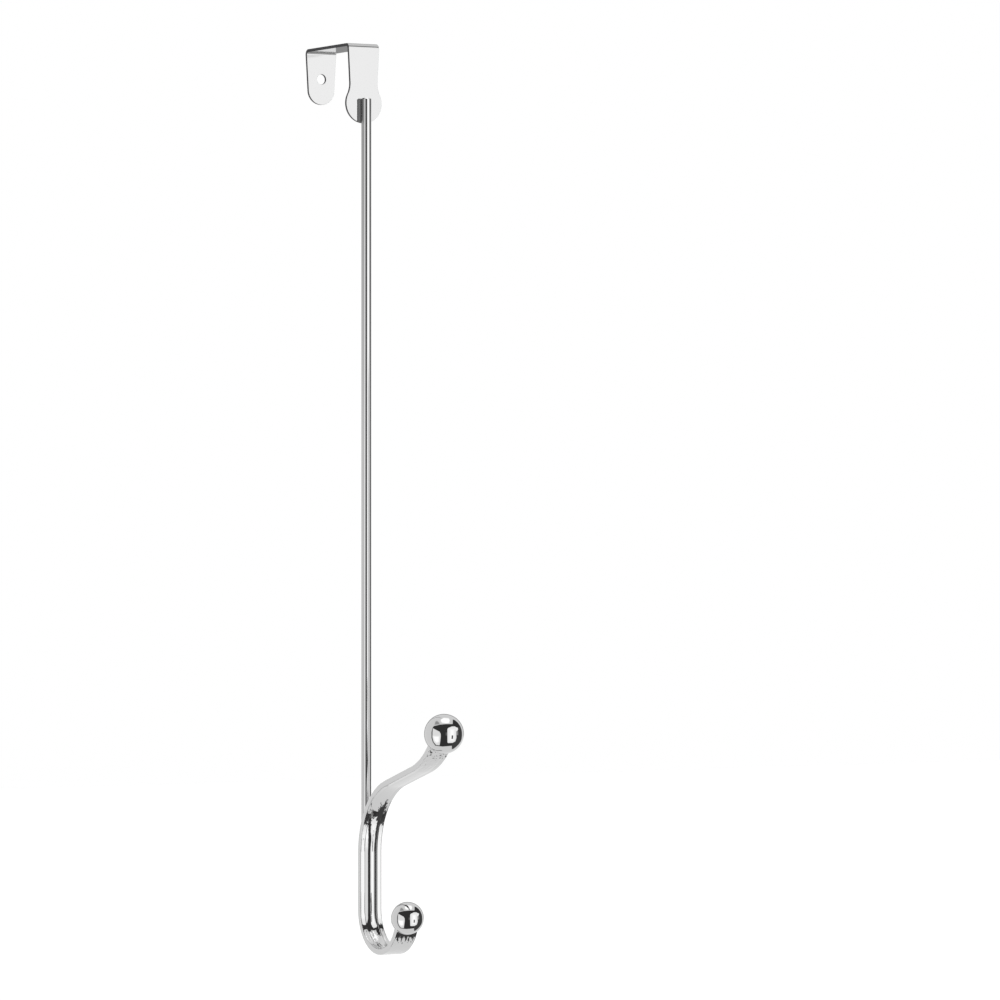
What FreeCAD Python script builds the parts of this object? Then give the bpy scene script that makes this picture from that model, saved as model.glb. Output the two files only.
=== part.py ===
"""Over door hook in chromed steel: a folded strap over the door, a long round rod
and a ribbed hook bar with a ball on each end.

Millimetres, +Z up. The origin is where the strap rests on the door's top edge, halfway
between the door's two faces. The room is on the -Y side and the door's far face on the +Y
side. The whole hook is symmetric about X = 0.
"""
import FreeCAD, Part
import math
import os

V = FreeCAD.Vector
ACROSS = V(1, 0, 0)

# Door and strap
DOOR_GAP = 44.5            # clear space between the strap's two legs, for a 44 mm door
SHEET = 1.5                # thickness of the strap's sheet steel
FOLD_RADIUS = 1.2          # inner radius of the strap's two folds
FRONT_WIDTH = 17.1         # strap width at the front fold
BACK_WIDTH = 16.7          # strap width at the back fold
LEG_LEAN = 3.0             # degrees that each edge of the front leg leans inwards
WAIST_RADIUS = 12.0        # hollow curve from the front leg's edge into its round pad
PAD_RADIUS = 9.95          # round weld pad at the foot of the front leg
PAD_DROP = 28.5            # pad's centre below the seat
TAB_END_RADIUS = 7.3       # round end of the back tab
TAB_DROP = 26.3            # lowest point of the back tab below the seat
HOLE_RADIUS = 2.6          # screw hole in the back tab
HOLE_DROP = 13.4           # hole's centre below the seat

# Rod
ROD_RADIUS = 2.5
ROD_OVER_PAD = 2.4         # top end of the rod above the pad's centre
ROD_CHAMFER = 0.4
WELD_SET_DOWN = 0.2        # depth to which the rod is pressed flat where it is welded

# Hook bar: a flat-backed strip with a round bead along the side that faces the room
BAR_WIDTH = 12.0
BAR_THICKNESS = 2.8
BAR_EDGE_BREAK = 0.5       # chamfer along the bar's four long edges
BEAD_RADIUS = 3.85
BEAD_CENTRE = 1.05         # height of the bead's centre above the flat back
HOOK_DROP = 452.4          # lowest point of the lower hook below the seat
HOOK_BEND = 21.3           # radius of the lower hook's flat back
HOOK_TURN = 173.8          # degrees from the upright stretch to the lower ball's centre
UPRIGHT = 28.0             # straight stretch between the two bends
ROD_LAP = 25.0             # length of rod that lies on the upright stretch
ARM_BEND = 38.8            # radius of the flat back where the upper arm leaves the upright
ARM_LEAN = 73.6            # degrees from the upright to the arm's straight stretch
ARM_STRAIGHT = 28.0
UPTURN_BEND = 38.6         # radius of the flat back where the arm's end turns up
UPTURN = 43.7              # degrees from the arm's straight stretch to the ball's centre

# Balls, each with a socket that the end of the bar fills
UPPER_BALL_RADIUS = 9.7
LOWER_BALL_RADIUS = 8.1
SOCKET_FLOOR = 3.0         # from a ball's centre back to the end of the bar

# Places that follow from the sizes above
LEG_FACE_Y = -(DOOR_GAP / 2 + SHEET)
ROD_Y = LEG_FACE_Y - (ROD_RADIUS - WELD_SET_DOWN)
BAR_BACK_Y = ROD_Y - (ROD_RADIUS - WELD_SET_DOWN)
UPRIGHT_FOOT_Z = HOOK_BEND - HOOK_DROP
UPRIGHT_TOP_Z = UPRIGHT_FOOT_Z + UPRIGHT


def arc_through(start, middle, end):
    """Circular edge through three points."""
    return Part.Arc(start, middle, end).toShape()


def on_circle(centre, radius, degrees):
    """Point of a circle in the X-Z plane, counted from +X towards +Z."""
    angle = math.radians(degrees)
    return centre + V(radius * math.cos(angle), 0, radius * math.sin(angle))


def outline_blank(right_half, depth_from, depth_to):
    """Plate between two Y planes, from the right half of an outline that is mirrored in X."""
    left_half = [edge.mirror(V(0, 0, 0), ACROSS) for edge in right_half]
    top_corner = right_half[0].Vertexes[0].Point
    closing = Part.makeLine(top_corner, V(-top_corner.x, top_corner.y, top_corner.z))
    face = Part.Face(Part.Wire(Part.__sortEdges__(right_half + left_half + [closing])))
    face.translate(V(0, depth_from, 0))
    return face.extrude(V(0, depth_to - depth_from, 0))


def front_leg_blank():
    """Front leg: leaning edges, hollow waist and a round pad for the weld."""
    pad = V(0, 0, -PAD_DROP)
    edge_top = V(FRONT_WIDTH / 2, 0, SHEET)
    fold_end = V(FRONT_WIDTH / 2, 0, -FOLD_RADIUS)
    lean = math.radians(LEG_LEAN)
    down = V(-math.sin(lean), 0, -math.cos(lean))
    outward = V(math.cos(lean), 0, -math.sin(lean))
    # The waist arc touches the leaning edge on one side and the pad's circle on the other
    start = fold_end + outward * WAIST_RADIUS
    along = (pad - start).dot(down)
    aside = (pad - start - down * along).Length
    reach = PAD_RADIUS + WAIST_RADIUS
    waist_centre = start + down * (along - math.sqrt(reach ** 2 - aside ** 2))
    edge_end = waist_centre - outward * WAIST_RADIUS
    to_pad = (pad - waist_centre).normalize()
    pad_start = pad - to_pad * PAD_RADIUS
    middle = (to_pad - outward).normalize()
    pad_angle = math.degrees(math.atan2(-to_pad.z, -to_pad.x))
    pad_middle = on_circle(pad, PAD_RADIUS, (pad_angle - 90) / 2)
    pad_foot = on_circle(pad, PAD_RADIUS, -90)
    edges = [
        Part.makeLine(edge_top, fold_end),
        Part.makeLine(fold_end, edge_end),
        arc_through(edge_end, waist_centre + middle * WAIST_RADIUS, pad_start),
        arc_through(pad_start, pad_middle, pad_foot),
    ]
    return outline_blank(edges, LEG_FACE_Y, -(DOOR_GAP / 2 - FOLD_RADIUS))


def back_tab_blank():
    """Back tab: leaning edges that run tangent into a full round end, and a screw hole."""
    centre = V(0, 0, -(TAB_DROP - TAB_END_RADIUS))
    edge_top = V(BACK_WIDTH / 2, 0, SHEET)
    fold_end = V(BACK_WIDTH / 2, 0, -FOLD_RADIUS)
    away = fold_end - centre
    touch = math.degrees(math.atan2(away.z, away.x) - math.acos(TAB_END_RADIUS / away.Length))
    edges = [
        Part.makeLine(edge_top, fold_end),
        Part.makeLine(fold_end, on_circle(centre, TAB_END_RADIUS, touch)),
        arc_through(on_circle(centre, TAB_END_RADIUS, touch),
                    on_circle(centre, TAB_END_RADIUS, (touch - 90) / 2),
                    on_circle(centre, TAB_END_RADIUS, -90)),
    ]
    blank = outline_blank(edges, DOOR_GAP / 2 - FOLD_RADIUS, DOOR_GAP / 2 + SHEET)
    hole = Part.makeCylinder(HOLE_RADIUS, DOOR_GAP, V(0, 0, -HOLE_DROP), V(0, 1, 0))
    return blank.cut(hole)


def top_blank():
    """Top of the strap: a plate over the door's edge, a little narrower at the back."""
    y_end = DOOR_GAP / 2 - FOLD_RADIUS
    front, back = FRONT_WIDTH / 2, BACK_WIDTH / 2
    corners = [V(-front, -y_end, 0), V(front, -y_end, 0), V(back, y_end, 0), V(-back, y_end, 0)]
    return Part.Face(Part.makePolygon(corners + corners[:1])).extrude(V(0, 0, SHEET))


def folded_sheet():
    """Sheet of even thickness folded down at both door faces, wider than the strap."""
    width = 4 * max(FRONT_WIDTH, BACK_WIDTH, PAD_RADIUS)
    drop = 2 * max(PAD_DROP + PAD_RADIUS, TAB_DROP)

    def hood(inset, radius):
        half = DOOR_GAP / 2 + inset
        block = Part.makeBox(width, 2 * half, drop + inset, V(-width / 2, -half, -drop))
        top_z = inset
        folds = [e for e in block.Edges
                 if abs(e.BoundBox.ZMin - top_z) < 1e-6 and abs(e.BoundBox.ZMax - top_z) < 1e-6
                 and e.BoundBox.XLength > width / 2]
        return block.makeFillet(radius, folds)

    return hood(SHEET, FOLD_RADIUS + SHEET).cut(hood(0, FOLD_RADIUS))


def over_door_strap():
    """Blanked and folded strap with its pad and its screw hole."""
    blank = front_leg_blank().fuse([top_blank(), back_tab_blank()])
    return folded_sheet().common(blank).removeSplitter()


def bar_section():
    """Section of the hook bar at the foot of the upright, with its flat back to the door."""
    half, thick, edge = BAR_WIDTH / 2, BAR_THICKNESS, BAR_EDGE_BREAK
    bead_half = math.sqrt(BEAD_RADIUS ** 2 - (thick - BEAD_CENTRE) ** 2)
    right_side = [(half - edge, 0), (half, edge), (half, thick - edge), (half - edge, thick),
                  (bead_half, thick)]
    left_side = [(-across, height) for across, height in reversed(right_side)]
    corners = [V(across, BAR_BACK_Y - height, UPRIGHT_FOOT_Z)
               for across, height in left_side + right_side]
    bead_top = V(0, BAR_BACK_Y - BEAD_CENTRE - BEAD_RADIUS, UPRIGHT_FOOT_Z)
    bead = arc_through(corners[-1], bead_top, corners[0])
    return Part.Face(Part.Wire([*Part.makePolygon(corners).Edges, bead]))


def swung(shape, centre, degrees):
    """Copy of a shape turned about a line across the hook, positive from the door upwards."""
    copy = shape.copy()
    copy.rotate(centre, ACROSS, degrees)
    return copy


def bent(section, centre, degrees):
    """Bar that follows an arc from a section, positive from the door upwards."""
    axis = ACROSS if degrees > 0 else -ACROSS
    return section.revolve(centre, axis, abs(degrees))


def socket_angle(bend_radius):
    """Degrees of a bend that the bar stops short of a ball's centre."""
    return math.degrees(SOCKET_FLOOR / bend_radius)


def lower_hook_centre():
    return V(0, BAR_BACK_Y - HOOK_BEND, UPRIGHT_FOOT_Z)


def arm_centre():
    return V(0, BAR_BACK_Y - ARM_BEND, UPRIGHT_TOP_Z)


def arm_frame():
    """Direction of the arm's straight stretch, and the way its flat back faces."""
    lean = math.radians(ARM_LEAN)
    return V(0, -math.sin(lean), math.cos(lean)), V(0, math.cos(lean), math.sin(lean))


def upturn_centre():
    along, back = arm_frame()
    return arm_centre() + back * (ARM_BEND + UPTURN_BEND) + along * ARM_STRAIGHT


def hook_bar():
    """Bar from the lower ball's socket, up the rod and out along the arm to the upper ball."""
    foot = bar_section()
    head = foot.copy()
    head.translate(V(0, 0, UPRIGHT))
    along, _ = arm_frame()
    arm_start = swung(head, arm_centre(), ARM_LEAN)
    arm_end = arm_start.copy()
    arm_end.translate(along * ARM_STRAIGHT)
    pieces = [
        bent(foot, lower_hook_centre(), -(HOOK_TURN - socket_angle(HOOK_BEND))),
        foot.extrude(V(0, 0, UPRIGHT)),
        bent(head, arm_centre(), ARM_LEAN),
        arm_start.extrude(along * ARM_STRAIGHT),
        bent(arm_end, upturn_centre(), -(UPTURN - socket_angle(UPTURN_BEND))),
    ]
    return pieces[0].fuse(pieces[1:]).removeSplitter()


def lower_ball_centre():
    """Middle of the bar's thickness at the end of the lower hook."""
    start = Part.Vertex(V(0, BAR_BACK_Y - BAR_THICKNESS / 2, UPRIGHT_FOOT_Z))
    return swung(start, lower_hook_centre(), -HOOK_TURN).Point


def upper_ball_centre():
    """Middle of the bar's thickness at the end of the upper arm."""
    along, back = arm_frame()
    start = arm_centre() + back * (ARM_BEND - BAR_THICKNESS / 2) + along * ARM_STRAIGHT
    return swung(Part.Vertex(start), upturn_centre(), -UPTURN).Point


def end_balls(bar):
    """The upper and the lower ball, each with a socket that fits the end of the bar."""
    places = [(upper_ball_centre(), UPPER_BALL_RADIUS), (lower_ball_centre(), LOWER_BALL_RADIUS)]
    return Part.makeCompound([Part.makeSphere(radius, centre).cut(bar).Solids[0]
                              for centre, radius in places])


def hanger_rod(strap, bar):
    """Drawn rod with chamfered ends, set down flat on the pad and on the bar's back."""
    top, foot = ROD_OVER_PAD - PAD_DROP, UPRIGHT_TOP_Z - ROD_LAP
    rod = Part.makeCylinder(ROD_RADIUS, top - foot, V(0, ROD_Y, foot))
    rims = [e for e in rod.Edges if e.BoundBox.ZLength < 1e-6]
    return rod.makeChamfer(ROD_CHAMFER, rims).cut([strap, bar])


def build():
    strap = over_door_strap()
    bar = hook_bar()
    return {
        "over_door_strap": strap,
        "hanger_rod": hanger_rod(strap, bar),
        "hook_bar": bar,
        "end_balls": end_balls(bar),
    }


os.makedirs("parts", exist_ok=True)
for name, shape in build().items():
    print(name, "solids", len(shape.Solids), "valid", shape.isValid(),
          "volume", round(shape.Volume, 1))
    shape.exportStep(f"parts/{name}.step")
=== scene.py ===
import math
import bmesh
import bpy
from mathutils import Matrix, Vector


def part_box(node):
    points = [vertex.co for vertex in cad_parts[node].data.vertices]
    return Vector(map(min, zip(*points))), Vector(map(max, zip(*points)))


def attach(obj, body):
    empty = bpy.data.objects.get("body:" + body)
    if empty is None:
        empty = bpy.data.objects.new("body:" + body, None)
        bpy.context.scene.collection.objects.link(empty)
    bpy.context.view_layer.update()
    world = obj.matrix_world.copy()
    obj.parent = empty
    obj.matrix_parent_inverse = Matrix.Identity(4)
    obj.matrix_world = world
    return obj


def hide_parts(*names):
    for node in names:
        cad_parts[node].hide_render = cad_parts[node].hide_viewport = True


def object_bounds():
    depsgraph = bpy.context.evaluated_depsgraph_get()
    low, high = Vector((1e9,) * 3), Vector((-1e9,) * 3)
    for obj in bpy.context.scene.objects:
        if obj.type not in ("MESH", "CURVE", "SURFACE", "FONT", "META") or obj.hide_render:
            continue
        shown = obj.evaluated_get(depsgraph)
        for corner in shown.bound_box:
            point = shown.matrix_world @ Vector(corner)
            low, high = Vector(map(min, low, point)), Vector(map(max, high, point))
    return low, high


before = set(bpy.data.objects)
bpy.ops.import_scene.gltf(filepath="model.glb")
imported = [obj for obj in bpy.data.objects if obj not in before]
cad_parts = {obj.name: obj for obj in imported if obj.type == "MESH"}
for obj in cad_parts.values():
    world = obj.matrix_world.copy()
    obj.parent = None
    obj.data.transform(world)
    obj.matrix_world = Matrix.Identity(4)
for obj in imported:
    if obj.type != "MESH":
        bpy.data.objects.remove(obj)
cad_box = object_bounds()

# Over door strap
# One blank of 1.5 mm mild steel sheet, punched out with its pad and screw hole, folded
# down on both sides of the door in a press brake and then plated with bright chrome.
SHEET = 0.0015
FOLD_RADIUS = 0.0012       # inside both folds
FRONT_WIDTH = 0.0171       # at the front fold
BACK_WIDTH = 0.0167        # at the back fold
LEG_LEAN = math.radians(3) # each edge of the front leg leans in as it goes down
WAIST_RADIUS = 0.012
TAB_END_RADIUS = 0.0073
HOLE_RADIUS = 0.0026
HOLE_DROP = 0.0134         # hole's centre below the top of the door
TAB_DROP = 0.0263          # lowest point of the back tab below the top of the door
EDGE_ROUND = 0.00006       # punched edges after tumbling
ARC_STEP = math.radians(4)
FOLD_STRIPS = 14
FACE_TILT = 0.99           # a face of the blank that points up more than this is no cut edge
POLISH_SPREAD = 0.4        # how unevenly the buffing wheel leaves the plate
HAZE_PER_METRE = 180
FOLD_TOP_DARK_LINE = (0.00115, 0.00135)  # heights of the painted dark reflection line on top of each fold
FOLD_TOP_DARK_LINE_RUN = 0.0003

strap_low, strap_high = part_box("over_door_strap")
pad_radius = strap_high.x
pad_drop = -strap_low.z - pad_radius
top_half = strap_high.y - SHEET - FOLD_RADIUS      # flat stretch on top, each way
fold_run = math.pi / 2 * (FOLD_RADIUS + SHEET / 2) # sheet that one fold takes up
leg_start = top_half + fold_run


def arc_points(centre, radius, start, end, step=ARC_STEP):
    """Points of an arc with both its ends, from one angle to the other in radians."""
    count = max(2, round(abs(end - start) / step))
    angles = [start + (end - start) * i / count for i in range(count + 1)]
    return [(centre[0] + radius * math.cos(a), centre[1] + radius * math.sin(a)) for a in angles]


def along_front(z):
    """Place on the flat blank of a height on the front leg."""
    return -(leg_start - FOLD_RADIUS - z)


def along_back(z):
    return leg_start - FOLD_RADIUS - z


def blank_right_edge():
    """Right edge of the flat blank from the pad's foot to the tab's foot: (across, along)."""
    pad = Vector((0, -pad_drop))
    fold_end = Vector((FRONT_WIDTH / 2, -FOLD_RADIUS))
    down = Vector((-math.sin(LEG_LEAN), -math.cos(LEG_LEAN)))
    outward = Vector((math.cos(LEG_LEAN), -math.sin(LEG_LEAN)))
    start = fold_end + outward * WAIST_RADIUS
    run = (pad - start).dot(down)
    aside = (pad - start - down * run).length
    waist = start + down * (run - math.sqrt((pad_radius + WAIST_RADIUS) ** 2 - aside ** 2))
    to_waist = waist - pad
    pad_angle = math.atan2(to_waist.y, to_waist.x)
    lean_angle = math.pi - LEG_LEAN
    front = arc_points(pad, pad_radius, -math.pi / 2, pad_angle)
    front += arc_points(waist, WAIST_RADIUS, pad_angle + math.pi, lean_angle)[1:]
    tab = Vector((0, TAB_END_RADIUS - TAB_DROP))
    away = Vector((BACK_WIDTH / 2, -FOLD_RADIUS)) - tab
    touch = math.atan2(away.y, away.x) - math.acos(TAB_END_RADIUS / away.length)
    back = arc_points(tab, TAB_END_RADIUS, touch, -math.pi / 2)
    edge = [(x, along_front(z)) for x, z in front]
    edge += [(FRONT_WIDTH / 2, -leg_start), (FRONT_WIDTH / 2, -top_half)]
    edge += [(BACK_WIDTH / 2, top_half), (BACK_WIDTH / 2, leg_start)]
    return edge + [(x, along_back(z)) for x, z in back]


def folded(point):
    """Where a point of the flat blank (across, along, height over the inner face) ends up."""
    side = math.copysign(1, point.y)
    run = abs(point.y)
    if run <= top_half:
        return Vector((point.x, point.y, point.z))
    if run <= leg_start:
        turn = (run - top_half) / (FOLD_RADIUS + SHEET / 2)
        radius = FOLD_RADIUS + point.z
        return Vector((point.x, side * (top_half + radius * math.sin(turn)),
                       radius * math.cos(turn) - FOLD_RADIUS))
    return Vector((point.x, side * (top_half + FOLD_RADIUS + point.z),
                   leg_start - FOLD_RADIUS - run))


def closed_spline(curve, points):
    spline = curve.splines.new("POLY")
    spline.points.add(len(points) - 1)
    for spot, (x, y) in zip(spline.points, points):
        spot.co = (x, y, 0, 1)
    spline.use_cyclic_u = True


def as_mesh(obj):
    """Plain mesh of an object with its modifiers, and the object's own data removed."""
    bpy.context.view_layer.update()
    mesh = bpy.data.meshes.new_from_object(obj.evaluated_get(bpy.context.evaluated_depsgraph_get()))
    bpy.data.objects.remove(obj)
    return mesh


def new_object(name, data):
    obj = bpy.data.objects.new(name, data)
    bpy.context.scene.collection.objects.link(obj)
    return obj


def blank_mesh():
    """Flat blank with its hole, its thickness and its tumbled edges."""
    right = blank_right_edge()
    left = [(-x, y) for x, y in reversed(right) if x > 1e-7]
    curve = bpy.data.curves.new("strap_blank", "CURVE")
    curve.dimensions = "2D"
    curve.fill_mode = "BOTH"
    curve.extrude = SHEET / 2 - EDGE_ROUND
    curve.bevel_depth = EDGE_ROUND
    curve.bevel_resolution = 2
    curve.offset = -EDGE_ROUND
    closed_spline(curve, right + left)
    hole = arc_points((0, along_back(-HOLE_DROP)), HOLE_RADIUS, 0, 2 * math.pi)
    closed_spline(curve, hole[:-1])
    return as_mesh(new_object("strap_blank", curve))


def folded_strap_mesh():
    mesh = blank_mesh()
    bm = bmesh.new()
    bm.from_mesh(mesh)
    bmesh.ops.remove_doubles(bm, verts=bm.verts, dist=1e-7)
    bmesh.ops.recalc_face_normals(bm, faces=bm.faces)
    # Cuts across the blank let each fold follow its radius, with one more just past it
    fold_lines = [top_half + fold_run * i / FOLD_STRIPS for i in range(FOLD_STRIPS + 1)]
    fold_lines += [top_half - EDGE_ROUND, leg_start + EDGE_ROUND]
    for line in fold_lines + [-line for line in fold_lines]:
        bmesh.ops.bisect_plane(bm, geom=bm.verts[:] + bm.edges[:] + bm.faces[:], dist=1e-8,
                               plane_co=(0, line, 0), plane_no=(0, 1, 0))
    for face in bm.faces:
        face.smooth = True
        face.material_index = 0 if abs(face.normal.z) > FACE_TILT else 1
    for edge in bm.edges:
        kinds = {face.material_index for face in edge.link_faces}
        edge.smooth = len(kinds) == 1
    for vert in bm.verts:
        vert.co = folded(vert.co + Vector((0, 0, SHEET / 2)))
    bm.to_mesh(mesh)
    bm.free()
    return mesh


def linear(hex_colour):
    """Linear colour of an sRGB hex value."""
    values = [int(hex_colour[i:i + 2], 16) / 255 for i in (1, 3, 5)]
    return [v / 12.92 if v <= 0.04045 else ((v + 0.055) / 1.055) ** 2.4 for v in values] + [1]


def node(tree, kind, links=(), **settings):
    """Node of a tree with its settings, and links as (input, output of another node)."""
    made = tree.nodes.new(kind)
    for key, value in settings.items():
        if key.startswith("in_"):
            made.inputs[int(key[3:])].default_value = value
        else:
            setattr(made, key, value)
    for socket, source in links:
        tree.links.new(source, made.inputs[socket])
    return made


def plated(name, colour, roughness, ripple, ripple_height, grain=(1, 1, 1)):
    """Chrome plate: the colour, its polish, and the size and height in metres of its ripple."""
    material = bpy.data.materials.new(name)
    material.use_nodes = True
    tree = material.node_tree
    shader = tree.nodes["Principled BSDF"]
    shader.inputs["Base Color"].default_value = linear(colour)
    shader.inputs["Metallic"].default_value = 1
    place = node(tree, "ShaderNodeTexCoord")
    spread = node(tree, "ShaderNodeMapping", [("Vector", place.outputs["Object"])])
    spread.inputs["Scale"].default_value = grain
    ripples = node(tree, "ShaderNodeTexNoise", [("Vector", spread.outputs[0])])
    ripples.inputs["Scale"].default_value = 1 / ripple
    ripples.inputs["Detail"].default_value = 2
    bump = node(tree, "ShaderNodeBump", [("Height", ripples.outputs["Fac"])])
    bump.inputs["Distance"].default_value = ripple_height
    haze = node(tree, "ShaderNodeTexNoise", [("Vector", place.outputs["Object"])])
    haze.inputs["Scale"].default_value = HAZE_PER_METRE
    polish = node(tree, "ShaderNodeMapRange", [("Value", haze.outputs["Fac"])])
    polish.inputs["To Min"].default_value = roughness * (1 - POLISH_SPREAD)
    polish.inputs["To Max"].default_value = roughness * (1 + POLISH_SPREAD)
    tree.links.new(polish.outputs[0], shader.inputs["Roughness"])
    tree.links.new(bump.outputs[0], shader.inputs["Normal"])
    return material


def object_axis(tree, axis):
    """One coordinate of the surface in metres in the hook's own frame."""
    place = node(tree, "ShaderNodeTexCoord")
    return node(tree, "ShaderNodeSeparateXYZ", [(0, place.outputs["Object"])]).outputs[axis]


def ramp(tree, value, start, end, low=0.0, high=1.0):
    """Value that goes from low to high between two limits, and stays there beyond them."""
    return node(tree, "ShaderNodeMapRange", [(0, value)],
                in_1=start, in_2=end, in_3=low, in_4=high).outputs[0]


def product(tree, one, other):
    return node(tree, "ShaderNodeMath", [(0, one), (1, other)], operation="MULTIPLY").outputs[0]


def paint_dark_where(material, colour, amount):
    """Painted darker base colour where the amount rises from 0 to 1, for painted shade and painted dark
    reflections.
    """
    tree = material.node_tree
    shader = tree.nodes["Principled BSDF"]
    bright = shader.inputs["Base Color"].default_value
    plate = node(tree, "ShaderNodeMix", [(0, amount)], data_type="RGBA", in_6=bright,
                 in_7=linear(colour))
    tree.links.new(plate.outputs[2], shader.inputs["Base Color"])


def sheet_finish():
    """Bright plate with a painted dark reflection line along the top of each fold."""
    # Rolled sheet is never quite flat, so its mirror is soft and slightly wavy
    material = plated("Bright chrome on cold rolled sheet", "#C3C3C3", 0.07, 0.020, 5e-5)
    tree = material.node_tree
    height = ramp(tree, object_axis(tree, "Z"), *FOLD_TOP_DARK_LINE)
    aside = node(tree, "ShaderNodeMath", [(0, object_axis(tree, "Y"))], operation="ABSOLUTE")
    fold_top_band = ramp(tree, aside.outputs[0], top_half - FOLD_TOP_DARK_LINE_RUN, top_half)
    # Painted reflection: the base colour turns dark grey on the outer skin at the top of each fold
    paint_dark_where(material, "#4A4A4C", product(tree, height, fold_top_band))
    return material


strap = new_object("folded_strap", folded_strap_mesh())
strap.data.materials.append(sheet_finish())
# A sheared edge is rough and takes little plate; its near-black colour is painted shade, so it reads as a
# thin dark line
strap.data.materials.append(plated("Rough sheared edge with painted shade", "#29292B", 0.30, 0.0006, 4e-6))
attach(strap, "root")
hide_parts("over_door_strap")

# Hanger rod
# Cold drawn steel rod, 5 mm thick, cut to length with small chamfers. It is resistance
# welded to the pad and to the back of the hook bar, so both meet it on a narrow flat.
ROD_CHAMFER = 0.0004
ROD_SIDES = 96
WELD_SET_DOWN = 0.0002
ROD_OFF_CENTRE = 0.0001    # what the weld jig lets it stray
ROD_LAP = 0.025            # length that lies on the bar
PAD_SHADE_HEIGHTS = (-0.20, -0.045)    # heights between which the painted shade grows upwards towards the pad
PAD_SHADE_SHARE = (0.08, 0.45)
GAP_SHADE_SHARE = 0.15           # more painted shade against the pad, where the rod meets it
GAP_SHADE_RUN = 0.001
SHADED_SIDE = (0.74, 0.58)   # in rod radii towards the room, where the painted shade on the sides begins

rod_low, rod_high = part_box("hanger_rod")
bar_low, bar_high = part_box("hook_bar")
rod_radius = rod_high.x
rod_y = strap_low.y + WELD_SET_DOWN - rod_radius
bar_back = bar_high.y
bar_top_of_lap = rod_low.z + ROD_LAP


def rod_mesh():
    """Turned form of the rod, pressed flat against the pad and against the bar."""
    bm = bmesh.new()
    neck = rod_radius - ROD_CHAMFER
    foot = rod_low.z + ROD_CHAMFER
    stations = [(0, rod_low.z), (neck, rod_low.z), (rod_radius, foot),
                (rod_radius, bar_top_of_lap), (rod_radius, bar_top_of_lap + ROD_CHAMFER),
                (rod_radius, strap_low.z - ROD_CHAMFER), (rod_radius, strap_low.z),
                (rod_radius, rod_high.z - ROD_CHAMFER), (neck, rod_high.z), (0, rod_high.z)]
    line = [bm.verts.new((radius + ROD_OFF_CENTRE, rod_y, z)) for radius, z in stations]
    edges = [bm.edges.new(pair) for pair in zip(line, line[1:])]
    bmesh.ops.spin(bm, geom=line + edges, cent=(ROD_OFF_CENTRE, rod_y, 0), axis=(0, 0, 1),
                   angle=2 * math.pi, steps=ROD_SIDES, use_merge=True)
    bmesh.ops.remove_doubles(bm, verts=bm.verts, dist=1e-7)
    bmesh.ops.recalc_face_normals(bm, faces=bm.faces)
    for vert in bm.verts:
        if vert.co.z >= strap_low.z - 1e-7:
            vert.co.y = min(vert.co.y, strap_low.y)
        if vert.co.z <= bar_top_of_lap + 1e-7:
            vert.co.y = max(vert.co.y, bar_back)
    for face in bm.faces:
        face.smooth = True
    mesh = bpy.data.meshes.new("drawn_rod")
    bm.to_mesh(mesh)
    bm.free()
    mesh.set_sharp_from_angle(angle=math.radians(30))
    return mesh


def rod_finish():
    """Bright plate with painted shade: darker on the side that faces the door and most so against the
    pad.
    """
    # The die leaves faint lines along the rod, so its mirror runs out lengthwise
    material = plated("Bright chrome on drawn rod", "#CDCDCD", 0.03, 0.0012, 3e-7, (1, 1, 0.03))
    tree = material.node_tree
    height = object_axis(tree, "Z")
    shade_towards_pad = ramp(tree, height, *PAD_SHADE_HEIGHTS, *PAD_SHADE_SHARE)
    shade_in_the_gap = ramp(tree, height, strap_low.z - GAP_SHADE_RUN, strap_low.z + GAP_SHADE_RUN, 0.0, GAP_SHADE_SHARE)
    rod_shade = node(tree, "ShaderNodeMath", [(0, shade_towards_pad), (1, shade_in_the_gap)], operation="ADD")
    back = ramp(tree, object_axis(tree, "Y"), rod_y - SHADED_SIDE[0] * rod_radius,
                rod_y - SHADED_SIDE[1] * rod_radius)
    # Painted shade: near-black base colour on the rod's sides and back, deepest at the pad
    paint_dark_where(material, "#1C1C1D", product(tree, rod_shade.outputs[0], back))
    return material


rod = new_object("drawn_rod", rod_mesh())
rod.data.materials.append(rod_finish())
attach(rod, "root")
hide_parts("hanger_rod")

# Hook bar
# Rolled steel bar with a flat back and a round bead on its front, bent cold into the
# lower hook, the upright stretch behind which the rod is welded, and the upper arm.
BAR_WIDTH = 0.012
BAR_THICKNESS = 0.0028
CORNER_RADIUS = 0.0005
BEAD_RADIUS = 0.00385
BEAD_CENTRE = 0.00105      # over the flat back
BEAD_FILLET = 0.0005
HOOK_BEND = 0.0213         # bends are measured to the flat back
HOOK_TURN = math.radians(173.8)
ARM_BEND = 0.0388
ARM_LEAN = math.radians(73.6)
ARM_STRAIGHT = 0.028
UPTURN_BEND = 0.0386
UPTURN = math.radians(43.7)
SOCKET_FLOOR = 0.003       # from a ball's centre back to the end of the bar
FLAT_STEP = 0.00015        # keeps a flat side flat right up to its rounded corner
PATH_STEP = math.radians(2)
PEEL_SIZE = 0.0013
PEEL_HEIGHT = 1.6e-4
ARM_PEEL = 0.35            # share of it on the arm, past the bend, and under the upper ball
NECK_PEEL = 3.0
ARM_BEAD = 0.12            # how much of the bead is left on the upper arm and on the hook
HOOK_BEAD = 0.5
ARM_PRESSED = (0.004, 0.027)    # heights over the upright between which it is pressed flatter
HOOK_PRESSED = (0.004, 0.014)   # the same below the upright
ARM_PEEL_START = (0.002, 0.012)
ARM_PEEL_END = (0.024, 0.034)
HOOK_PEEL_START = (0.004, 0.012)
NECK_DROP = (0.0290, 0.0250)    # below the top of the upper ball
NECK_TILT = (0.1, -0.2)         # marks lie only on faces that point down
STATION_SPACING = 0.0007
SHARP_ANGLE = 60

balls_low, balls_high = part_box("end_balls")
upright_foot = bar_low.z + HOOK_BEND
upright_top = rod_low.z + ROD_LAP


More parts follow.
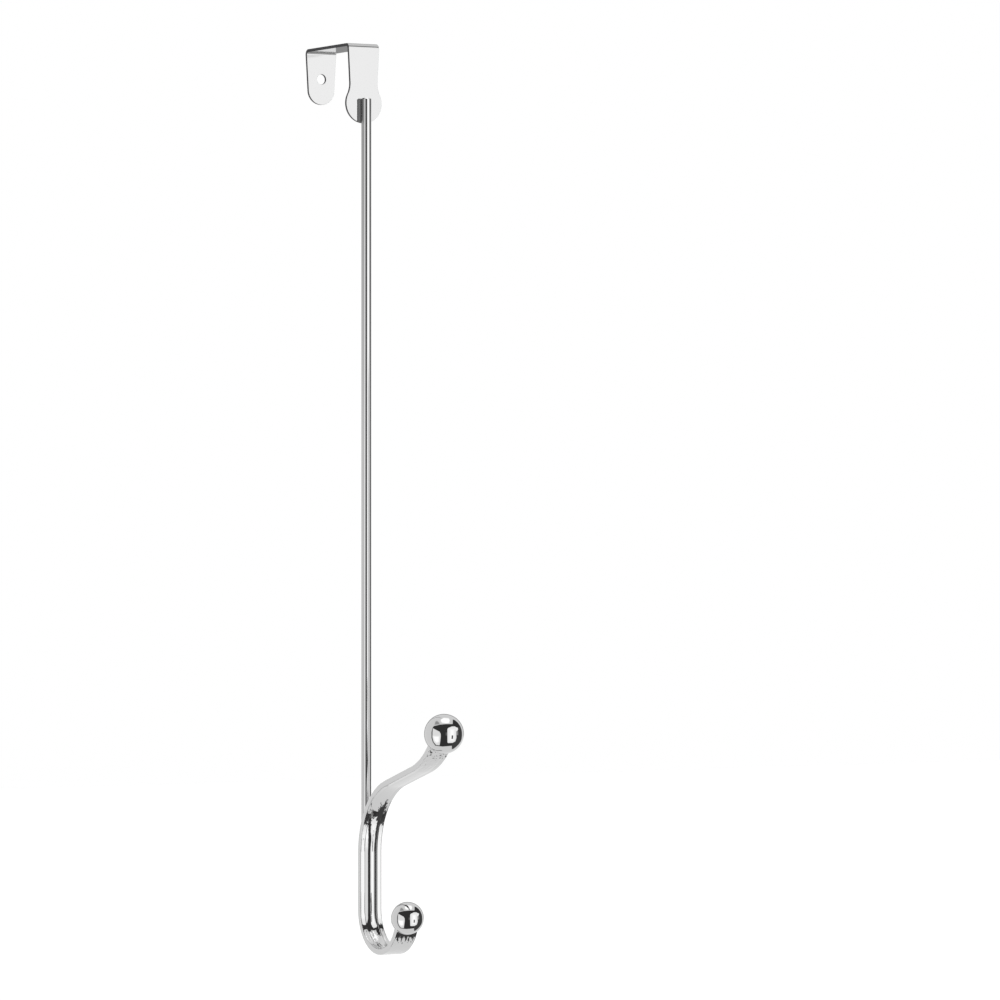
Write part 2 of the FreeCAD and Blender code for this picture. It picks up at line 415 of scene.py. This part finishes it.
def section_points():
    """Outline of the bar's section as (across, height over the flat back), once round."""
    half, thick, corner = BAR_WIDTH / 2, BAR_THICKNESS, CORNER_RADIUS
    reach = BEAD_RADIUS + BEAD_FILLET
    rise = thick + BEAD_FILLET - BEAD_CENTRE
    fillet = (math.sqrt(reach ** 2 - rise ** 2), thick + BEAD_FILLET)
    lean = math.atan2(rise, fillet[0])
    right = [(half - corner - FLAT_STEP, 0)]
    right += arc_points((half - corner, corner), corner, -math.pi / 2, 0, math.radians(18))
    right += [(half, corner + FLAT_STEP), (half, thick - corner - FLAT_STEP)]
    right += arc_points((half - corner, thick - corner), corner, 0, math.pi / 2, math.radians(18))
    right += [(half - corner - FLAT_STEP, thick), (fillet[0] + FLAT_STEP, thick)]
    right += arc_points(fillet, BEAD_FILLET, -math.pi / 2, lean - math.pi, math.radians(12))
    right += arc_points((0, BEAD_CENTRE), BEAD_RADIUS, lean, math.pi / 2, math.radians(4))[1:]
    left = [(-across, height) for across, height in reversed(right[:-1])]
    return right + left


def path_points():
    """Line of the flat back as (forward from the upright, height), lower ball to upper ball."""
    hook = (HOOK_BEND, upright_foot)
    stop = SOCKET_FLOOR / HOOK_BEND
    line = arc_points(hook, HOOK_BEND, math.pi + HOOK_TURN - stop, math.pi, PATH_STEP)
    arm = (ARM_BEND, upright_top)
    line += arc_points(arm, ARM_BEND, math.pi, math.pi - ARM_LEAN, PATH_STEP)
    along = (math.sin(ARM_LEAN), math.cos(ARM_LEAN))
    back = (-math.cos(ARM_LEAN), math.sin(ARM_LEAN))
    centre = tuple(arm[i] + back[i] * (ARM_BEND + UPTURN_BEND) + along[i] * ARM_STRAIGHT
                   for i in (0, 1))
    start = -ARM_LEAN
    stop = SOCKET_FLOOR / UPTURN_BEND
    line += arc_points(centre, UPTURN_BEND, start, start + UPTURN - stop, PATH_STEP)
    return line


def line_object(name, points, cyclic):
    """Poly curve through three-dimensional points."""
    curve = bpy.data.curves.new(name, "CURVE")
    curve.dimensions = "3D"
    spline = curve.splines.new("POLY")
    spline.points.add(len(points) - 1)
    for spot, point in zip(spline.points, points):
        spot.co = (*point, 1)
    spline.use_cyclic_u = cyclic
    return new_object(name, curve)


def captured(tree, geometry, kind, value):
    """Geometry that carries a value of its own points through the sweep."""
    held = node(tree, "GeometryNodeCaptureAttribute")
    held.capture_items.new(kind, "held")
    tree.links.new(geometry, held.inputs[0])
    tree.links.new(value, held.inputs[1])
    return held


def sweep_tree():
    """Geometry nodes that sweep a section along a line and close both ends."""
    tree = bpy.data.node_groups.new("Rolled bar sweep", "GeometryNodeTree")
    tree.interface.new_socket("Line", in_out="INPUT", socket_type="NodeSocketGeometry")
    tree.interface.new_socket("Section", in_out="INPUT", socket_type="NodeSocketObject")
    tree.interface.new_socket("Station spacing", in_out="INPUT", socket_type="NodeSocketFloat")
    tree.interface.new_socket("Finish", in_out="INPUT", socket_type="NodeSocketMaterial")
    tree.interface.new_socket("Bar", in_out="OUTPUT", socket_type="NodeSocketGeometry")
    given = node(tree, "NodeGroupInput")
    stations = node(tree, "GeometryNodeResampleCurve", [("Curve", given.outputs["Line"]),
                    ("Length", given.outputs["Station spacing"])], mode="LENGTH")
    place = node(tree, "GeometryNodeInputPosition")
    spot = node(tree, "ShaderNodeSeparateXYZ", [(0, place.outputs[0])])
    along = node(tree, "GeometryNodeInputTangent")
    over_back = node(tree, "ShaderNodeVectorMath", [(1, along.outputs[0])],
                     operation="CROSS_PRODUCT", in_0=(1, 0, 0))
    on_arm = node(tree, "ShaderNodeMapRange", [(0, spot.outputs["Z"])],
                  interpolation_type="SMOOTHSTEP", in_1=upright_top + ARM_PRESSED[0],
                  in_2=upright_top + ARM_PRESSED[1], in_3=0, in_4=1 - ARM_BEAD)
    on_hook = node(tree, "ShaderNodeMapRange", [(0, spot.outputs["Z"])],
                   interpolation_type="SMOOTHSTEP", in_1=upright_foot - HOOK_PRESSED[0],
                   in_2=upright_foot - HOOK_PRESSED[1], in_3=0, in_4=1 - HOOK_BEAD)
    pressed = node(tree, "ShaderNodeMath", [(0, on_arm.outputs[0]), (1, on_hook.outputs[0])],
                   operation="MAXIMUM")
    press = node(tree, "ShaderNodeVectorMath",
                 [(0, over_back.outputs[0]), (3, pressed.outputs[0])], operation="SCALE")
    marked_line = captured(tree, stations.outputs[0], "VECTOR", press.outputs[0])
    section = node(tree, "GeometryNodeObjectInfo", [("Object", given.outputs["Section"])])
    over_flat = node(tree, "ShaderNodeMath", [(1, spot.outputs["Y"])],
                     operation="SUBTRACT", in_0=-BAR_THICKNESS)
    rise = node(tree, "ShaderNodeMath", [(0, over_flat.outputs[0])], operation="MAXIMUM", in_1=0)
    marked_section = captured(tree, section.outputs["Geometry"], "FLOAT", rise.outputs[0])
    swept = node(tree, "GeometryNodeCurveToMesh", [("Curve", marked_line.outputs[0]),
                 ("Profile Curve", marked_section.outputs[0])])
    swept.inputs["Fill Caps"].default_value = True
    down = node(tree, "ShaderNodeMath", [(0, marked_section.outputs[1])],
                operation="MULTIPLY", in_1=-1)
    shift = node(tree, "ShaderNodeVectorMath",
                 [(0, marked_line.outputs[1]), (3, down.outputs[0])], operation="SCALE")
    flattened = node(tree, "GeometryNodeSetPosition", [("Geometry", swept.outputs[0]),
                     ("Offset", shift.outputs[0])])
    smooth = node(tree, "GeometryNodeSetShadeSmooth", [("Geometry", flattened.outputs[0])])
    whole = node(tree, "GeometryNodeRealizeInstances", [("Geometry", smooth.outputs[0])])
    finish = node(tree, "GeometryNodeSetMaterial", [("Geometry", whole.outputs[0]),
                  ("Material", given.outputs["Finish"])])
    node(tree, "NodeGroupOutput", [("Bar", finish.outputs[0])])
    return tree


def set_input(modifier, name, value):
    """Sets a named input of a geometry nodes modifier by its socket's identifier."""
    items = modifier.node_group.interface.items_tree
    socket = next(i for i in items if i.name == name and i.in_out == "INPUT")
    modifier[socket.identifier] = value


def closed_and_smooth(mesh, sharp):
    """Joins the seams, turns the faces outwards and keeps edges over an angle sharp."""
    bm = bmesh.new()
    bm.from_mesh(mesh)
    bmesh.ops.remove_doubles(bm, verts=bm.verts, dist=1e-7)
    bmesh.ops.recalc_face_normals(bm, faces=bm.faces)
    for face in bm.faces:
        face.smooth = True
    bm.to_mesh(mesh)
    bm.free()
    mesh.set_sharp_from_angle(angle=math.radians(sharp))


def bar_finish():
    """Bright plate over rolled steel, with an orange peel where the bar has been bent."""
    # Wheel polished before plating: a sharp mirror that breaks up only in the bends
    material = plated("Bright chrome on rolled bar", "#CDCDCD", 0.035, 0.0035, 2e-5)
    tree = material.node_tree
    shader = tree.nodes["Principled BSDF"]
    height = object_axis(tree, "Z")
    above = ramp(tree, height, upright_top + ARM_PEEL_START[0], upright_top + ARM_PEEL_START[1])
    smoother = ramp(tree, height, upright_top + ARM_PEEL_END[0], upright_top + ARM_PEEL_END[1],
                    1.0, ARM_PEEL)
    place = node(tree, "ShaderNodeTexCoord")
    facing = node(tree, "ShaderNodeSeparateXYZ", [(0, place.outputs["Normal"])])
    near_ball = ramp(tree, height, balls_high.z - NECK_DROP[0], balls_high.z - NECK_DROP[1],
                     0.0, NECK_PEEL)
    neck = product(tree, ramp(tree, facing.outputs["Z"], *NECK_TILT), near_ball)
    below = ramp(tree, height, upright_foot - HOOK_PEEL_START[0],
                 upright_foot - HOOK_PEEL_START[1])
    on_arm = node(tree, "ShaderNodeMath", [(0, product(tree, above, smoother)), (1, neck)],
                  operation="MAXIMUM")
    bends = node(tree, "ShaderNodeMath", [(0, on_arm.outputs[0]), (1, below)],
                 operation="MAXIMUM")
    drawn = node(tree, "ShaderNodeMapping", [("Vector", place.outputs["Object"])])
    drawn.inputs["Scale"].default_value = (1, 0.5, 0.5)
    peel = node(tree, "ShaderNodeTexNoise", [("Vector", drawn.outputs[0])])
    peel.inputs["Scale"].default_value = 1 / PEEL_SIZE
    peel.inputs["Detail"].default_value = 1
    bump = node(tree, "ShaderNodeBump",
                [("Height", product(tree, peel.outputs["Fac"], bends.outputs[0])),
                 ("Normal", shader.inputs["Normal"].links[0].from_socket)])
    bump.inputs["Distance"].default_value = PEEL_HEIGHT
    tree.links.new(bump.outputs[0], shader.inputs["Normal"])
    return material


bar_chrome = bar_finish()
section = line_object("bar_section", [(x, -h, 0) for x, h in section_points()], True)
bar_line = line_object("bar_line", [(0, bar_back - f, z) for f, z in path_points()], False)
sweep = bar_line.modifiers.new("sweep", "NODES")
sweep.node_group = sweep_tree()
set_input(sweep, "Section", section)
set_input(sweep, "Station spacing", STATION_SPACING)
set_input(sweep, "Finish", bar_chrome)
bar_mesh = as_mesh(bar_line)
bpy.data.objects.remove(section)
closed_and_smooth(bar_mesh, SHARP_ANGLE)
bar = new_object("ribbed_bar", bar_mesh)
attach(bar, "root")
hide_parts("hook_bar")

# End balls
# Two steel balls, the larger one on the upper arm, each pressed on the end of the bar,
# then polished and plated with the rest, so their chrome is the smoothest on the hook.
UPPER_BALL_RADIUS = 0.0097
LOWER_BALL_RADIUS = 0.0081

hook_tip = Vector((0, bar_back - HOOK_BEND, upright_foot))
hook_arm = HOOK_BEND - BAR_THICKNESS / 2
lower_centre = hook_tip + Vector((0, -hook_arm * math.cos(math.pi - HOOK_TURN),
                                  -hook_arm * math.sin(math.pi - HOOK_TURN)))
upper_centre = Vector((0, balls_low.y + UPPER_BALL_RADIUS, balls_high.z - UPPER_BALL_RADIUS))
# Ground round and polished, so its mirror shows the room without a wave
ball_chrome = plated("Mirror chrome on a polished ball", "#CDCDCD", 0.02, 0.004, 1e-6)


def end_ball(name, centre, radius):
    bm = bmesh.new()
    bmesh.ops.create_icosphere(bm, subdivisions=6, radius=radius)
    bmesh.ops.translate(bm, vec=centre, verts=bm.verts)
    for face in bm.faces:
        face.smooth = True
    mesh = bpy.data.meshes.new(name)
    bm.to_mesh(mesh)
    bm.free()
    ball = new_object(name, mesh)
    ball.data.materials.append(ball_chrome)
    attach(ball, "root")
    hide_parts("end_balls")


end_ball("upper_ball", upper_centre, UPPER_BALL_RADIUS)
end_ball("lower_ball", lower_centre, LOWER_BALL_RADIUS)

# Studio
# A pale floor below the hook, a white surround, and large softboxes and black flags that
# the chrome mirrors. Flags and softboxes are placed by where a chrome ball shows them.
CAMERA_YAW = math.radians(29.42)
CAMERA_PLACE = Vector((-1.2680, -2.4108, -0.2270))
FOCAL_LENGTH = 194.4
SENSOR = 36
FLOOR_GAP = 0.15
FLOOR_SIZE = 8
SURROUND = 0.95
BEHIND = 0.30              # the dim room behind the hook, mirrored at grazing angles
BEHIND_RING = (0.955, 0.992)
STUDIO_CARDS = [
    # name, level, softness, corners (right, up) on a ball of radius 1, anticlockwise
    ("white sweep at lower right", SURROUND, 0.030,
     [(-0.05, -0.90), (-0.05, -1.05), (1.05, -1.05), (1.05, -0.20)]),
    ("dark room in front", 0.045, 0.010,
     [(-0.625, 0.10), (-0.62, -0.20), (-0.555, -0.40), (-0.43, -0.58), (-0.30, -0.635), (-0.08, -0.62),
      (0.30, -0.665), (0.55, -0.665), (0.62, 0.30), (0.50, 0.505), (0.10, 0.51), (-0.20, 0.48),
      (-0.52, 0.40), (-0.58, 0.30)]),
    ("dark room on the right", 0.075, 0.012,
     [(0.375, -0.77), (0.46, -0.75), (0.60, -0.65), (0.72, -0.54), (0.81, -0.43), (0.87, -0.30),
      (0.90, -0.12), (0.905, 0.05), (0.89, 0.18), (0.86, 0.28), (0.81, 0.40), (0.70, 0.56),
      (0.56, 0.69), (0.45, 0.73)]),
    ("dark room at upper right", 0.045, 0.012,
     [(0.60, 0.34), (0.84, 0.34), (0.70, 0.56), (0.56, 0.68), (0.46, 0.70), (0.44, 0.46)]),
    ("lit wall on the right", 0.40, 0.025,
     [(0.62, -0.06), (0.71, -0.06), (0.71, 0.12), (0.62, 0.16)]),
    ("haze at upper left", 0.42, 0.035,
     [(-0.48, 0.46), (-0.22, 0.50), (-0.25, 0.58), (-0.36, 0.66), (-0.44, 0.62)]),
    ("haze in the middle", 0.18, 0.020, [(0.09, -0.06), (0.17, -0.06), (0.17, 0.09), (0.09, 0.09)]),
    ("left softbox", 1.15, 0.012,
     [(-0.575, 0.08), (-0.57, -0.20), (-0.51, -0.40), (-0.39, -0.545), (-0.22, -0.56), (-0.19, -0.38),
      (-0.16, -0.12), (-0.165, 0.02), (-0.225, 0.13), (-0.56, 0.29)]),
    ("left softbox's lamp", 1.75, 0.080,
     [(-0.53, -0.12), (-0.46, -0.34), (-0.36, -0.42), (-0.26, -0.36), (-0.25, -0.12)]),
    ("right softbox", 1.30, 0.015,
     [(0.175, -0.40), (0.20, -0.44), (0.42, -0.44), (0.56, -0.37), (0.62, -0.20), (0.62, 0.33),
      (0.55, 0.38), (0.40, 0.385), (0.21, 0.31), (0.175, 0.25)]),
    ("right softbox's side", 1.35, 0.015,
     [(0.60, 0.14), (0.66, 0.14), (0.71, 0.22), (0.70, 0.30), (0.60, 0.34)]),
    ("right softbox's lamp", 1.62, 0.080,
     [(0.30, -0.32), (0.47, -0.32), (0.50, -0.16), (0.51, 0.22), (0.32, 0.24)]),
    ("overhead softbox", 1.75, 0.045,
     [(-0.10, 0.58), (0.10, 0.55), (0.26, 0.57), (0.29, 0.70), (0.23, 0.79), (-0.02, 0.81), (-0.15, 0.74),
      (-0.16, 0.66)]),
    ("stand in front of the right softbox", 0.10, 0.012,
     [(0.375, -0.24), (0.45, -0.24), (0.46, -0.06), (0.385, -0.06)]),
]


def studio_world():
    """Surround that cameras see as white, with softboxes and flags in the reflections."""
    world = bpy.data.worlds.new("studio")
    world.use_nodes = True
    tree = world.node_tree
    tree.nodes.clear()
    toward = (-math.sin(CAMERA_YAW), -math.cos(CAMERA_YAW), 0)
    rightward = (math.cos(CAMERA_YAW), -math.sin(CAMERA_YAW), 0)
    ray = node(tree, "ShaderNodeTexCoord")
    halfway = node(tree, "ShaderNodeVectorMath", [(0, ray.outputs["Generated"])],
                   operation="ADD", in_1=toward)
    on_ball = node(tree, "ShaderNodeVectorMath", [(0, halfway.outputs[0])], operation="NORMALIZE")
    right = node(tree, "ShaderNodeVectorMath", [(0, on_ball.outputs[0])],
                 operation="DOT_PRODUCT", in_1=rightward)
    up = node(tree, "ShaderNodeVectorMath", [(0, on_ball.outputs[0])],
              operation="DOT_PRODUCT", in_1=(0, 0, 1))
    spot = node(tree, "ShaderNodeCombineXYZ", [(0, right.outputs["Value"]), (1, up.outputs["Value"])])
    ring = node(tree, "ShaderNodeVectorMath", [(0, spot.outputs[0])], operation="LENGTH")
    behind = node(tree, "ShaderNodeMapRange", [(0, ring.outputs["Value"])], label="room behind",
                  interpolation_type="SMOOTHSTEP", in_1=BEHIND_RING[0], in_2=BEHIND_RING[1])
    level = node(tree, "ShaderNodeMix", [(0, behind.outputs[0])], data_type="FLOAT",
                 in_2=SURROUND, in_3=BEHIND).outputs[0]
    for name, strength, softness, corners in STUDIO_CARDS:
        inside = None
        for start, end in zip(corners, corners[1:] + corners[:1]):
            run = Vector(end) - Vector(start)
            outward = Vector((run.y, -run.x)).normalized()
            reach = node(tree, "ShaderNodeVectorMath", [(0, spot.outputs[0])],
                         operation="DOT_PRODUCT", in_1=(outward.x, outward.y, 0))
            depth = node(tree, "ShaderNodeMath", [(1, reach.outputs["Value"])],
                         operation="SUBTRACT", in_0=outward.dot(Vector(start))).outputs[0]
            inside = depth if inside is None else node(
                tree, "ShaderNodeMath", [(0, inside), (1, depth)], operation="MINIMUM").outputs[0]
        cover = node(tree, "ShaderNodeMapRange", [(0, inside)], label=name,
                     interpolation_type="SMOOTHSTEP", in_1=-softness, in_2=softness)
        level = node(tree, "ShaderNodeMix", [(0, cover.outputs[0]), (2, level)],
                     data_type="FLOAT", in_3=strength).outputs[0]
    path = node(tree, "ShaderNodeLightPath")
    plain = node(tree, "ShaderNodeBackground", in_0=(1, 1, 1, 1))
    mirrored = node(tree, "ShaderNodeBackground", [(1, level)], in_0=(1, 1, 1, 1))
    surround = node(tree, "ShaderNodeMixShader", [(0, path.outputs["Is Glossy Ray"]),
                    (1, plain.outputs[0]), (2, mirrored.outputs[0])])
    node(tree, "ShaderNodeOutputWorld", [("Surface", surround.outputs[0])])
    return world


def floor_material():
    """Matt white paper; the camera sees it as white, less the shadow that lies on it."""
    material = bpy.data.materials.new("Matt white paper")
    material.use_nodes = True
    tree = material.node_tree
    shader = tree.nodes["Principled BSDF"]
    shader.inputs["Base Color"].default_value = linear("#E8E8E8")
    shader.inputs["Roughness"].default_value = 0.9
    shader.inputs["Emission Color"].default_value = (1, 1, 1, 1)
    path = node(tree, "ShaderNodeLightPath")
    lift = node(tree, "ShaderNodeMath", [(0, path.outputs["Is Camera Ray"])],
                operation="MULTIPLY", in_1=0.25)
    tree.links.new(lift.outputs[0], shader.inputs["Emission Strength"])
    return material


bpy.context.scene.world = studio_world()
floor_mesh = bpy.data.meshes.new("floor")
half = FLOOR_SIZE / 2
floor_z = cad_box[0].z - FLOOR_GAP
floor_mesh.from_pydata([(-half, -half, floor_z), (half, -half, floor_z),
                        (half, half, floor_z), (-half, half, floor_z)], [], [(0, 1, 2, 3)])
floor_mesh.materials.append(floor_material())
floor = new_object("floor", floor_mesh)
floor.visible_glossy = False

camera_data = bpy.data.cameras.new("camera")
camera_data.lens = FOCAL_LENGTH
camera_data.sensor_width = SENSOR
camera = new_object("camera", camera_data)
camera.location = CAMERA_PLACE
camera.rotation_euler = (math.pi / 2, 0, -CAMERA_YAW)
bpy.context.scene.camera = camera
bpy.context.scene.view_settings.view_transform = "Standard"
